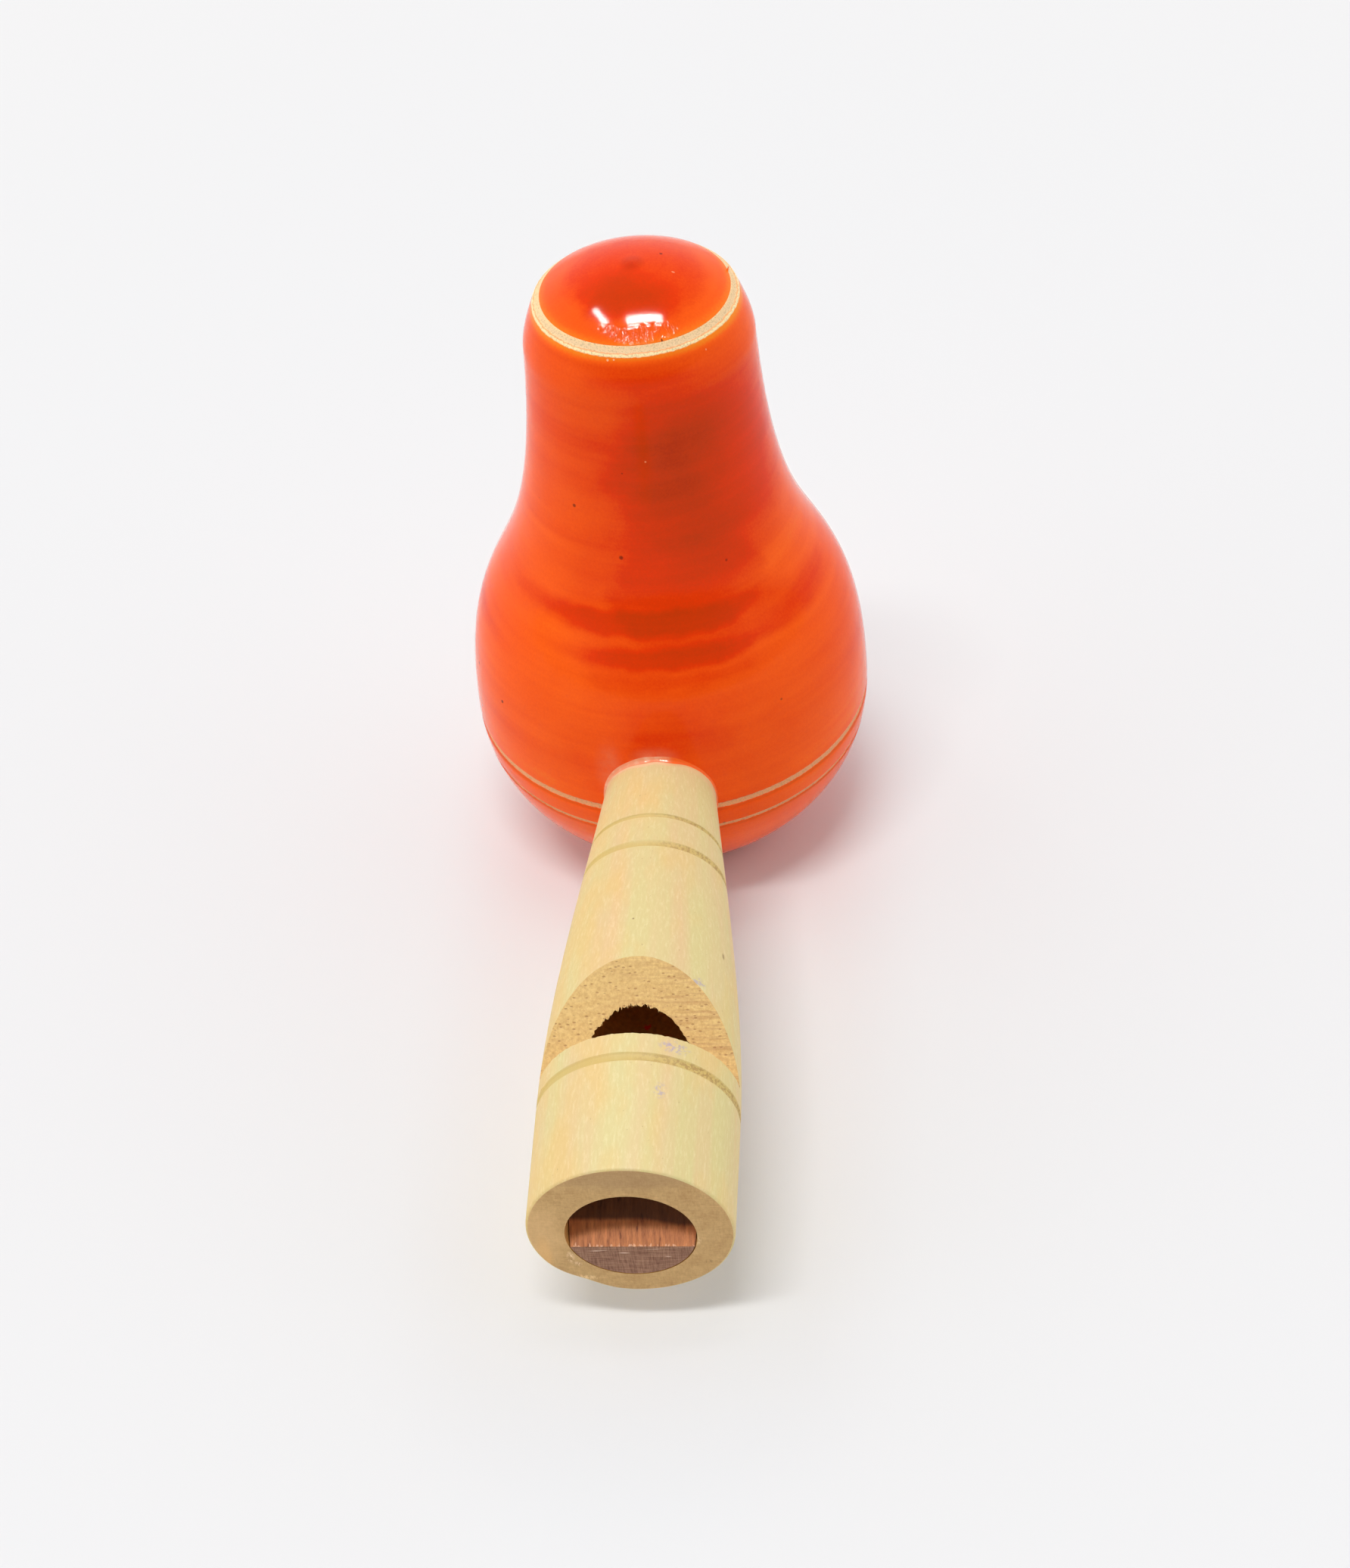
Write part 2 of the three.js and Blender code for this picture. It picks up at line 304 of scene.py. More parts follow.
        # Glue wiped off the joint leaves a milky haze on the lacquer, above the tube and down its left.
        low = add(tree, "VectorMath", {0: spot, 1: (0, 0, TUBE_HEIGHT)}, operation="SUBTRACT")
        up = (0, -math.sin(TUBE_DROOP), math.cos(TUBE_DROOP))
        above = add(tree, "VectorMath", {0: low, 1: up}, operation="DOT_PRODUCT")
        beside = add(tree, "CombineXYZ", {"X": axes["X"], "Y": above})
        cloud = add(tree, "TexNoise", {"Vector": spot, "Scale": 0.9, "Detail": 3, "Roughness": 0.6})
        cloud = add(tree, "MapRange", {"Value": cloud, "From Min": 0.05, "From Max": 0.65})
        haze = 0
        for spread, extent, amount in GLUE_HAZE:
            here = patch(tree, beside, spread, extent, 0.2, amount)
            haze = add(tree, "Math", {0: haze, 1: here}, operation="ADD")
        haze = add(tree, "Math", {0: haze, 1: cloud}, operation="MULTIPLY")
        front = add(tree, "Math", {0: axes["Y"], 1: -10}, operation="LESS_THAN")
        haze = add(tree, "Math", {0: haze, 1: front}, operation="MULTIPLY")
        lac = add(tree, "Mix", {"Factor": haze, "A": lac, "B": colour(GLUE_MILKY)}, data_type="RGBA")
        dull = add(tree, "Math", {0: haze, 1: 0.4}, operation="MULTIPLY")
        shine = add(tree, "Math", {0: shine, 1: dull}, operation="ADD")

    open_wood = 0
    wood = lac
    if bare:
        # The parting tool goes through the lacquer and leaves dry wood, a little torn along its edges.
        torn = add(tree, "TexNoise", {"Vector": spot, "Scale": 2.2, "Detail": 3})
        torn = add(tree, "MapRange", {"Value": torn, "To Min": -0.1, "To Max": 0.1})
        edge = add(tree, "Math", {0: axes["Z"], 1: torn}, operation="ADD")
    for low, high, tint, burnt in bare:
        half = (high - low) / 2
        off = add(tree, "Math", {0: edge, 1: (low + high) / 2}, operation="SUBTRACT")
        off = add(tree, "Math", {0: off}, operation="ABSOLUTE")
        inside = add(tree, "MapRange", {"Value": off, "From Min": half + 0.05, "From Max": half - 0.05})
        open_wood = add(tree, "Math", {0: open_wood, 1: inside}, operation="MAXIMUM")
        wood = add(tree, "Mix", {"Factor": inside, "A": wood, "B": colour(tint)}, data_type="RGBA")
        if burnt:
            under = add(tree, "Math", {0: edge, 1: low - 0.16}, operation="SUBTRACT")
            under = add(tree, "Math", {0: under}, operation="ABSOLUTE")
            lac = stained(tree, lac, under, 0.26, 0.05, burnt, LAC_CRUMB)

    gloss = {"Base Color": lac, "Roughness": shine, "IOR": 1.5, "Specular IOR Level": 0.08, "Normal": skin}
    surface = add(tree, "BsdfPrincipled", gloss)
    if bare:
        pores = add(tree, "TexNoise", {"Vector": spot, "Scale": 7, "Detail": 2, "Roughness": 0.7})
        # A greyer band round the front and right of the ring: end grain, and painted shade of its inner
        # slope.
        grain_and_shade = patch(tree, unrolled, (28, ring_foot + 0.44), (105, 0.2), 0.6, 0.4)
        wood = add(tree, "Mix", {"Factor": grain_and_shade, "A": wood, "B": colour("#d8b68e")}, data_type="RGBA")
        wood = stained(tree, wood, pores, 0.5, 0.34, 0.5, DRY_PORE)
        rough = add(tree, "Bump", {"Height": pores, "Strength": 0.3, "Distance": 0.04 * MM})
        dry = add(tree, "BsdfPrincipled", {"Base Color": wood, "Roughness": 0.8, "Normal": rough})
        surface = add(tree, "MixShader", {0: open_wood, 1: surface, 2: dry})
    add(tree, "OutputMaterial", {"Surface": surface})
    return material


LAC_THIN = "#ff8f24"
LAC_TINTS = (
    (-0.3, 0.05, "#ff6114"),
    (0.05, 0.42, "#e83a06"),
    (0.42, 0.75, "#c83a0a"),
    (0.75, 1.1, "#921702"),
)
LAC_CRUMB = "#6a1604"
LAC_NIB = "#a82206"
DRY_PORE = "#a8855a"
GLUE_MILKY = "#f08862"
GLUE_HAZE = (((-0.2, 4.9), (2.5, 1.6), 0.7), ((-4.4, 3.2), (1.6, 3.6), 0.4))
PEAR_PATCHES = (
    (6, 44, 44, 22, 0.3, 0.22),
    (8, 20, 40, 9, 0.3, 0.1),
    (-3, 35.0, 62, 1.3, 0.5, 0.28),
    (8, 32.0, 44, 1.1, 0.4, 0.28),
    (2, 30.0, 32, 0.9, 0.3, 0.12),
    (16, 37.2, 31, 5.2, 0.88, 0.1),
    (60, 33.0, 28, 2.0, 0.2, 0.22),
    # Painted shade: this patch makes the lac redder over the neck's right side, away from the light.
    (43, 49, 58, 11, 0.4, 0.43),
    (-46, 50, 26, 12, 0.3, 0.07),
    (-50, 20, 30, 6, 0.3, -0.07),
    (8, 59.1, 34, 0.9, 0.3, 0.08),
    (8, 25, 20, 3.2, 0.2, 0.13),
    (150, 41, 60, 1.6, 0.3, 0.3),
    (172, 50, 80, 9, 0.3, 0.2),
    (180, 30, 90, 6, 0.3, 0.14),
    (-130, 29, 70, 1.4, 0.3, 0.3),
    (120, 24, 50, 2.5, 0.3, 0.2),
)


def bored_wood(splash=None):
    """Raw drilled wood, dark from heat and dust. A splash is a spot of red lac, as (x, y, z, radius)."""
    material, tree, spot = new_finish("bored_wood")
    grain = add(tree, "TexNoise", {"Vector": spot, "Scale": 2.5, "Detail": 4})
    mixed = {"Factor": grain, "A": colour("#ac7638"), "B": colour("#e6aa5a")}
    wood = add(tree, "Mix", mixed, data_type="RGBA")
    if splash:
        away = add(tree, "VectorMath", {0: spot, 1: splash[:3]}, operation="DISTANCE")
        away = add(tree, "Math", {0: away, 1: grain}, operation="ADD")
        wood = stained(tree, wood, away, splash[3] + 0.5, splash[3] + 0.3, 1, "#f03a24")
    return surfaced(material, wood, grain, 0.5, 0.1, 0.85)


def parted_wood():
    """Underside, parted off on the lathe: dry end grain with fine concentric tool marks."""
    material, tree, spot = new_finish("parted_end_grain")
    pores = add(tree, "TexNoise", {"Vector": spot, "Scale": 6, "Detail": 3})
    turning = {"wave_type": "RINGS", "rings_direction": "Z"}
    marks = add(tree, "TexWave", {"Vector": spot, "Scale": 0.9, "Distortion": 0.6}, **turning)
    mixed = {"Factor": pores, "A": colour("#b98f58"), "B": colour("#e2c088")}
    wood = add(tree, "Mix", mixed, data_type="RGBA")
    marked = add(tree, "Math", {0: marks, 1: pores}, operation="ADD")
    return surfaced(material, wood, marked, 0.3, 0.05, 0.8)


pear_side = bend(
    [
        (BASE_RADIUS, 0),
        (BASE_RADIUS + BASE_FULLNESS * math.cos(BASE_FLARE), BASE_FULLNESS * math.sin(BASE_FLARE)),
        (belly_radius, BELLY_HEIGHT - BELLY_FULLNESS[0]),
        (belly_radius, BELLY_HEIGHT),
    ],
    40,
)
pear_side += bend(
    [
        (belly_radius, BELLY_HEIGHT),
        (belly_radius, BELLY_HEIGHT + BELLY_FULLNESS[1]),
        (NECK_RADIUS + NECK_LENGTH * math.sin(NECK_TAPER), NECK_HEIGHT - NECK_LENGTH * math.cos(NECK_TAPER)),
        (NECK_RADIUS, NECK_HEIGHT),
    ],
    80,
)[1:]
neck_turn = [
    (NECK_RADIUS, NECK_HEIGHT), (NECK_RADIUS, NECK_HEIGHT + SHOULDER_TURN), (ring_radius, ring_foot)
]
ring_profile = [
    (ring_radius - RING_RIM * 0.35, ring_foot + RING_RIM * 0.75),
    (ring_radius - RING_RIM * 1.1, ring_foot + RING_RIM * 1.25),
    (cap_radius + 0.1, neck_top - 0.13),
    (cap_radius, neck_top),
]
chamber_point = CHAMBER_FLOOR + CHAMBER_RADIUS / math.tan(DRILL_POINT)
pear = turned(
    "pear",
    [
        (1, [(0, 0), (BASE_RADIUS * 0.3, 0), (BASE_RADIUS * 0.7, 0), (BASE_RADIUS - 0.1, 0)]),
        (0, scribed(pear_side, [LOWER_LINE, UPPER_LINE], LINE_DEPTH)),
        (0, bend(neck_turn, 16)[1:]),
        (0, ring_profile),
        (2, [(CHAMBER_RADIUS, neck_top), (CHAMBER_RADIUS, chamber_point), (0, CHAMBER_FLOOR)]),
    ],
    224,
)
PEAR_SPECKS = (
    (-32.8, 45.4, 1.0, 0.2, LAC_CRUMB, 0.8),
    (-10.1, 41.2, 1.0, 0.22, LAC_CRUMB, 0.8),
    (-7.5, 49.8, 0.5, 0.1, LAC_CRUMB, 0.7),
    (34.4, 39.4, 0.6, 0.14, LAC_CRUMB, 0.7),
    (4, 51, 0.5, 0.1, "#ffb080", 0.8),
    (-11.4, 60.98, 0.7, 0.12, "#ffc89a", 0.8),
    (-8, 61.05, 0.6, 0.1, "#ffc89a", 0.8),
    (43, 60.3, 0.5, 0.1, "#ffb080", 0.8),
)
bare = [(at - width * 0.3, at + width * 0.3, "#f2a872", 0.2) for at, width in (LOWER_LINE, UPPER_LINE)]
bare += [
    # The thin strip at the ring's outer edge is pale as a painted highlight.
    (ring_foot - 0.03, ring_foot + 0.24, "#ffe6ae", 0),
    (ring_foot + 0.24, ring_foot + 9, "#fbd59c", 0),
]
pear_lac = lacquered(
    "shellac_lacquer_pear", ring_foot, ring_foot - 1.0, PEAR_PATCHES, bare, specks=PEAR_SPECKS, glued=True
)
pear_finishes = (pear_lac, parted_wood(), bored_wood())
for finish in pear_finishes:
    pear.data.materials.append(finish)

# Head cap
# A second turned piece: a low dome with a spigot that plugs the chamber, lacquered like the pear.
# The lathe leaves a small nib at its top, and the lac thins out towards its rim.
SPIGOT_LENGTH = 6
GLUE_GAP = 0.1
DOME_EDGE = 0.05
NIB_HEIGHT = 0.09
NIB_RADIUS = 1.0
dome_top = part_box("head_cap")[1].z / MM
dome_foot = neck_top + DOME_EDGE


def dome_height(radius):
    """Height of the dome at a radius: a shallow parabola, with the nib inside its rise."""
    rise = (dome_top - dome_foot) * (1 - (radius / cap_radius) ** 2)
    dish = NIB_HEIGHT * (1 - math.exp(-((radius / NIB_RADIUS) ** 2))) * math.exp(
        -((radius / (NIB_RADIUS * 4)) ** 2)
    )
    return dome_foot + rise - dish


dome = [(cap_radius, dome_foot)]
dome += [(cap_radius * (1 - i / 60), dome_height(cap_radius * (1 - i / 60))) for i in range(1, 61)]
spigot_radius = CHAMBER_RADIUS - GLUE_GAP
cap = turned(
    "cap",
    [
        (1, [(0, neck_top - SPIGOT_LENGTH), (spigot_radius, neck_top - SPIGOT_LENGTH)]),
        (1, [(spigot_radius, neck_top)]),
        (0, [(cap_radius, neck_top)]),
        (0, dome),
    ],
    192,
)


def splinter(piece, spikes, finish):
    """Adds thin closed spikes of torn material to a piece, each as (root, tip, width) in millimetres."""
    shape = bmesh.new()
    shape.from_mesh(piece.data)
    for root, tip, width in spikes:
        run = (tip - root).normalized()
        side = run.orthogonal().normalized()
        base = []
        for turn in range(3):
            offset = Matrix.Rotation(math.radians(120) * turn, 3, run) @ side * width / 2
            base.append(shape.verts.new((root + offset) * MM))
        point = shape.verts.new(tip * MM)
        faces = [shape.faces.new(base[::-1])]
        faces += [shape.faces.new((base[i], base[(i + 1) % 3], point)) for i in range(3)]
        for face in faces:
            face.material_index = finish
    bmesh.ops.recalc_face_normals(shape, faces=shape.faces)
    shape.to_mesh(piece.data)
    shape.free()


# A chip of lac still stands on the rim at the right, where the cap was burnished against the ring.
CHIP_AT = math.radians(106)
CHIP_HEIGHT = 0.55
CHIP_WIDTH = 0.34
rim_side = Vector((math.sin(CHIP_AT), -math.cos(CHIP_AT), 0))
chip_root = rim_side * (cap_radius - 0.1) + Vector((0, 0, dome_foot - 0.05))
chip_tip = chip_root + rim_side * 0.22 + Vector((0, 0.12, CHIP_HEIGHT))
splinter(cap, [(chip_root, chip_tip, CHIP_WIDTH)], 0)
CAP_PATCHES = (
    (0, dome_top, 500, 1.7, 0.4, 0.27),
    (-5, 64.0, 62, 1.1, 0.3, 0.26),
    (40, 63.3, 40, 0.7, 0.3, 0.12),
)
CAP_DRIPS = ((10, 62.5, 24, 0.45, 0.7, 1.0), (-15, 62.8, 7, 0.2, 0.5, 0.8))
CAP_SPECKS = (
    (0, dome_top + 0.02, 900, 0.14, LAC_NIB, 0.28),
    (20, 62.02, 0.6, 0.14, LAC_CRUMB, 0.9),
    (76, 64.3, 1.6, 0.05, "#ffb080", 0.7),
)
cap_lac = lacquered(
    "shellac_lacquer_cap", neck_top - 0.5, neck_top + 0.7, CAP_PATCHES, drips=CAP_DRIPS, specks=CAP_SPECKS
)
for finish in (cap_lac, bored_wood()):
    cap.data.materials.append(finish)
cap.data.set_sharp_from_angle(angle=math.radians(40))
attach(cap, "root")
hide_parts("head_cap")

# Whistle tube
# Turned from an ivory-coloured wood and left bare: a taper from the pear to a straight mouthpiece, with
# three scribed rings. The window is a straight saw cut met by a sloping one, which breaks into the bore
# with a torn edge.
TENON_RADIUS = 4.6
TENON_START = 7.5
SHOULDER_AT = 17
SHOULDER_RADIUS = 5
TUBE_SWELL = 12
TUBE_TAPER = math.radians(6.7)
TUBE_FULL = 56
TUBE_LENGTH = 67.8
MOUTH_RADIUS = 8.85
MOUTH_EDGE = 0.3
MOUTH_STEP = 0.6
MOUTH_STEPS = 18
BORE_RADIUS = 5.6
BORE_END = 37
BORE_DROP = 0.55
DROP_FROM = 50
PASSAGE_RADIUS = 3
PASSAGE_START = 6
TUBE_RINGS = ((26.2, 0.5), (30, 0.8), (56, 0.9))
RING_DEPTH = 0.14
WINDOW_CUT = 53.5
WINDOW_FOOT = 0.9
RAMP_ANGLE = math.radians(39.7)
# In the tube's own frame, x is to the right, v upwards and t along it, from the pear's axis to the mouth.
tube_place = Matrix.Translation((0, 0, TUBE_HEIGHT * MM)) @ Matrix.Rotation(
    math.radians(90) + TUBE_DROOP, 4, "X"
)
tube_side = bend(
    [
        (SHOULDER_RADIUS, SHOULDER_AT),
        (SHOULDER_RADIUS + TUBE_SWELL * math.tan(TUBE_TAPER), SHOULDER_AT + TUBE_SWELL),
        (MOUTH_RADIUS, TUBE_FULL - TUBE_SWELL),
        (MOUTH_RADIUS, TUBE_FULL),
    ],
    60,
)
tube_side += [Vector((MOUTH_RADIUS, TUBE_FULL + MOUTH_STEP * i)) for i in range(1, MOUTH_STEPS + 1)]
rim = bend(
    [
        (MOUTH_RADIUS, TUBE_LENGTH - MOUTH_EDGE),
        (MOUTH_RADIUS, TUBE_LENGTH),
        (MOUTH_RADIUS - MOUTH_EDGE, TUBE_LENGTH),
    ],
    5,
)

# The socket is the tube's own shape, a glue gap larger all round.
socket = turned(
    "socket",
    [
        (2, [(0, 0), (TENON_RADIUS + GLUE_GAP, 0), (TENON_RADIUS + GLUE_GAP, SHOULDER_AT - GLUE_GAP)]),
        (2, [(r + GLUE_GAP, t) for r, t in tube_side]),
        (2, [(0, tube_side[-1][1])]),
    ],
    144,
)
socket.matrix_world = tube_place
for finish in pear_finishes:
    socket.data.materials.append(finish)
cut(pear, socket)
pear.data.set_sharp_from_angle(angle=math.radians(35))
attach(pear, "root")
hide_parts("pear_body")

tube = turned(
    "tube",
    [
        (2, [(0, TENON_START), (TENON_RADIUS, TENON_START)]),
        (0, [(TENON_RADIUS, SHOULDER_AT)]),
        (0, scribed(tube_side, TUBE_RINGS, RING_DEPTH)),
        (0, rim[:-1]),
        (1, [rim[-1], (MOUTH_RADIUS * 0.6, TUBE_LENGTH), (0, TUBE_LENGTH)]),
    ],
    216,
)

# Years of lips and hands: the mouthpiece is a little flat underneath, with a worn place to the left of it.
# Fibres have lifted on the left, where the third ring and the saw cut come close together.
WEAR_LENGTH = 4
WEAR = ((0.28, 0, 45), (0.42, -32, 15))
LIFT = 0.13
LIFT_FROM, LIFT_TO = 53.6, 57.5
LIFT_ANGLE = -62
LIFT_SPREAD = 16
for vertex in tube.data.vertices:
    x, v, t = vertex.co / MM
    if math.hypot(x, v) < BORE_RADIUS + 1:
        continue
    nearness = max(0, 1 - (TUBE_LENGTH - t) / WEAR_LENGTH)
    under = math.degrees(math.atan2(x, -v))
    worn = sum(deep * math.exp(-(((under - at) / spread) ** 2)) for deep, at, spread in WEAR)
    beside = math.degrees(math.atan2(x, v)) - LIFT_ANGLE
    lifted = 0
    if LIFT_FROM < t < LIFT_TO and abs(beside) < LIFT_SPREAD:
        middle = 1 - abs(beside) / LIFT_SPREAD
        lifted = LIFT * middle * max(0, noise.noise(Vector((beside / 5, t / 0.35, 2))))
    stretch = 1 + (lifted - worn * nearness**2) / MOUTH_RADIUS
    vertex.co = Vector((x * stretch, v * stretch, t)) * MM

# The bore's tool has close rings of points under the window, where its edge will be torn.
TEAR_FROM = 43
TEAR_TO = WINDOW_CUT + 1
TEAR_STEP = 0.2
passage_end = BORE_END - (BORE_RADIUS - PASSAGE_RADIUS) / math.tan(DRILL_POINT)
bore_side = [(0, PASSAGE_START), (PASSAGE_RADIUS, PASSAGE_START), (PASSAGE_RADIUS, passage_end)]
bore_side += [(BORE_RADIUS, BORE_END)]
tear_steps = int((TEAR_TO - TEAR_FROM) / TEAR_STEP)
bore_side += [(BORE_RADIUS, TEAR_FROM + TEAR_STEP * i) for i in range(tear_steps + 1)]
bore_side += [(BORE_RADIUS, TUBE_LENGTH + 1), (0, TUBE_LENGTH + 1)]
bore = turned("bore", [(2, bore_side)], 288)


def drop_at(along):
    """How far the bore has wandered below the tube's axis: it starts true and ends low, at the mouth."""
    return BORE_DROP * max(0, along - DROP_FROM) / (TUBE_LENGTH - DROP_FROM)


# Where the slope breaks into the bore, the grain tears in short strands about 0.25 mm across.
STRAND = 0.24
STRAND_LENGTH = 1.6
TEAR = 0.24
TORN_SIDE = 1.5
TORN_REST = 0.45
for vertex in bore.data.vertices:
    x, v, t = vertex.co / MM
    vertex.co.y -= drop_at(t) * MM
    if TEAR_FROM < t < TEAR_TO and v > 0:
        strand = noise.noise(Vector((x / STRAND, v / STRAND, t / STRAND_LENGTH)))
        ragged = 1 if x < TORN_SIDE else TORN_REST
        stretch = 1 + TEAR * ragged * strand / BORE_RADIUS
        vertex.co = Vector((x * stretch, v * stretch - drop_at(t), t)) * MM

# The window's tool: one ragged straight face, and a slope whose saw marks run across the tube.
SAW_STEP = 0.13
clear = MOUTH_RADIUS + 1
slices = []
slice_count = round(2 * clear / SAW_STEP)
slope_steps = 70
for i in range(slice_count + 1):
    x = -clear + i * 2 * clear / slice_count
    ragged = 0.05 * noise.noise(Vector((x / 1.5, 0, 3))) + 0.1 * noise.noise(Vector((x / 0.3, 0, 7)))
    points = [(WINDOW_CUT + ragged, clear)]
    for j in range(slope_steps + 1):
        v = WINDOW_FOOT + (clear - WINDOW_FOOT) * j / slope_steps
        saw = 0.05 * noise.noise(Vector((x / 2.5, v / 0.28, 0))) + 0.03 * noise.noise(
            Vector((x / 0.4, v / 0.3, 5))
        )
        points.append((WINDOW_CUT - (v - WINDOW_FOOT) / math.tan(RAMP_ANGLE) + (saw if j else ragged), v))
    slices.append([(x, v, t) for t, v in points])
window = skinned("window", slices, lambda ring, place: 3, smooth=False, ends=3)


def turned_wood():
    """Bare turned wood: matt ivory, with fine lengthwise fibres, pink and green streaks and a few pores.
    Fibres and pores are drawn about 0.2 mm across, coarser than the real ones, so that they show."""
    material, tree, spot = new_finish("turned_ivory_wood")
    axes = add(tree, "SeparateXYZ", {0: spot}).node.outputs
    turn = add(tree, "Math", {0: axes["X"], 1: axes["Y"]}, operation="ARCTAN2")
    around = add(tree, "Math", {0: turn, 1: MOUTH_RADIUS}, operation="MULTIPLY")
    unrolled = add(tree, "CombineXYZ", {"X": around, "Y": axes["Z"]})
    streak = stretched(tree, spot, (0.34, 0.34, 0.014), 3)
    fibre = stretched(tree, spot, (4.5, 4.5, 1.1), 4, 0.7)
    cloud = stretched(tree, spot, (0.3, 0.3, 0.12), 3)
    pore = stretched(tree, spot, (5, 5, 2), 2)
    left = add(
        tree, "MapRange", {"Value": around, "From Min": 6, "From Max": -10, "To Min": -0.05, "To Max": 0.14}
    )
    cloud = add(tree, "Math", {0: cloud, 1: left}, operation="ADD")
    wood = colour("#ddd092")
    for pattern, start, end, amount, tint in (
        (streak, 0.4, 0.7, 0.8, "#e7c395"),
        (cloud, 0.45, 0.7, 0.7, "#e8c67f"),
        (fibre, 0.65, 0.35, 0.13, "#c8a468"),
        (fibre, 0.52, 0.7, 0.2, "#fbf0cc"),
        (pore, 0.28, 0.22, 0.4, "#9a6f3c"),
    ):
        wood = stained(tree, wood, pattern, start, end, amount, tint)

    # The point of the scribing tool drags the fibres: the rings are tan, with open brown pores on the right.
    right = add(tree, "MapRange", {"Value": around, "From Min": -1, "From Max": 5})
    drawn = add(tree, "TexNoise", {"Vector": spot, "Scale": 2.8, "Detail": 3, "Roughness": 0.7})
    for at, width in TUBE_RINGS:
        off = add(tree, "Math", {0: axes["Z"], 1: at}, operation="SUBTRACT")
        off = add(tree, "Math", {0: off}, operation="ABSOLUTE")
        inside = {"Value": off, "From Min": width * 0.56, "From Max": width * 0.36, "To Max": 0.7}
        inside = add(tree, "MapRange", inside)
        wood = add(tree, "Mix", {"Factor": inside, "A": wood, "B": colour("#cdb05e")}, data_type="RGBA")
        inside = add(tree, "Math", {0: inside, 1: right}, operation="MULTIPLY")
        wood = stained(tree, wood, drawn, 0.54, 0.44, 0.8, "#9c7040", inside)

    # Marks of use: rubbed lavender ink by the window and on the mouthpiece, a nick and a dark dot.
    blot = add(tree, "TexNoise", {"Vector": spot, "Scale": 2.6, "Detail": 2, "Roughness": 0.7})
    blot = add(tree, "MapRange", {"Value": blot, "From Min": 0.47, "From Max": 0.6})
    for at, degrees, reach, tint, amount in TUBE_MARKS:
        here = patch(tree, unrolled, (math.radians(degrees) * MOUTH_RADIUS, at), reach, 0.4, amount)
        if tint == INK:
            here = add(tree, "Math", {0: here, 1: blot}, operation="MULTIPLY")
        wood = add(tree, "Mix", {"Factor": here, "A": wood, "B": colour(tint)}, data_type="RGBA")

    # A skin of wiped glue makes the first millimetre outside the socket smoother and a little shiny.
    skin = {"Value": axes["Z"], "From Min": 19.6, "From Max": 18.6, "To Max": 0.55}
    skin = add(tree, "MapRange", skin, interpolation_type="SMOOTHSTEP")
    wood = add(tree, "Mix", {"Factor": skin, "A": wood, "B": colour("#edcb9c")}, data_type="RGBA")
    shine = add(tree, "MapRange", {"Value": skin, "To Min": 0.6, "To Max": 0.3})
    return surfaced(material, wood, fibre, 0.35, 0.05, shine, 0.25)


INK = "#b3a0bd"
TUBE_MARKS = (
    (54.5, 25, (1.5, 0.7), INK, 0.8),
    (59.3, 18, (0.6, 0.9), INK, 0.6),
    (46.3, 39, (0.8, 0.7), INK, 0.7),
    (41, 62, (0.22, 0.4), "#9a7a48", 0.8),
    (39.9, -5, (0.12, 0.12), "#8a6a40", 0.8),
)


def cut_wood(name, pale, dark, across, contrast, tones, chips):
    """Wood cut across its fibres, with marks that run the ways that across gives. Tones are soft patches of
    colour and chips are torn flecks, both as (x, y, reach, tint, amount)."""
    material, tree, spot = new_finish(name)
    both = 0
    for way in across:
        mark = stretched(tree, spot, way, 4, 0.7)
        mark = add(tree, "Math", {0: mark, 1: 1 / len(across)}, operation="MULTIPLY")
        both = add(tree, "Math", {0: both, 1: mark}, operation="ADD")
    wood = stained(tree, colour(dark), both, 0.5 - contrast, 0.5 + contrast, 1, pale)
    torn = add(
        tree, "MapRange", {"Value": mark, "From Min": 0.46 / len(across), "From Max": 0.54 / len(across)}
    )
    flat = add(tree, "VectorMath", {0: spot, 1: (1, 1, 0)}, operation="MULTIPLY")
    for x, y, reach, tint, amount in (*tones, *chips):
        here = patch(tree, flat, (x, y), reach, 0.3, amount)
        if (x, y, reach, tint, amount) in chips:
            here = add(tree, "Math", {0: here, 1: torn}, operation="MULTIPLY")
        wood = add(tree, "Mix", {"Factor": here, "A": wood, "B": colour(tint)}, data_type="RGBA")
    return surfaced(material, wood, both, 0.5, 0.1, 0.85)


def sawn_slope():
    """The window's slope: sawn aslant the fibres, pale, with brown bands across it and small torn pits."""
    material, tree, spot = new_finish("sawn_slope")
    axes = add(tree, "SeparateXYZ", {0: spot}).node.outputs
    grain = add(tree, "TexNoise", {"Vector": spot, "Scale": 3.2, "Detail": 4, "Roughness": 0.7})
    wood = stained(tree, colour("#d3a760"), grain, 0.3, 0.62, 1, "#eecb80")
    band = stretched(tree, spot, (0.35, 3.6, 3.6), 4, 0.65)
    right = {"Value": axes["X"], "From Min": -4, "From Max": 4, "To Min": 0.15, "To Max": 1}
    right = add(tree, "MapRange", right)
    wood = stained(tree, wood, band, 0.44, 0.64, 0.62, "#c08d52", right)
    spread = add(tree, "VectorMath", {0: spot, 1: (1.8, 3.6, 3.6)}, operation="MULTIPLY")
    cell = add(tree, "TexVoronoi", {"Vector": spread, "Scale": 1}).node.outputs
    picked = add(tree, "SeparateColor", {0: cell["Color"]})
    chosen = add(tree, "Math", {0: picked, 1: 0.5}, operation="GREATER_THAN")
    pit = {"Value": cell["Distance"], "From Min": 0.32, "From Max": 0.18, "To Max": 0.7}
    pit = add(tree, "MapRange", pit)
    pit = add(tree, "Math", {0: pit, 1: chosen}, operation="MULTIPLY")
    wood = add(tree, "Mix", {"Factor": pit, "A": wood, "B": colour("#a8733a")}, data_type="RGBA")
    uneven = add(tree, "Math", {0: grain, 1: pit}, operation="SUBTRACT")
    return surfaced(material, wood, uneven, 0.5, 0.08, 0.8)
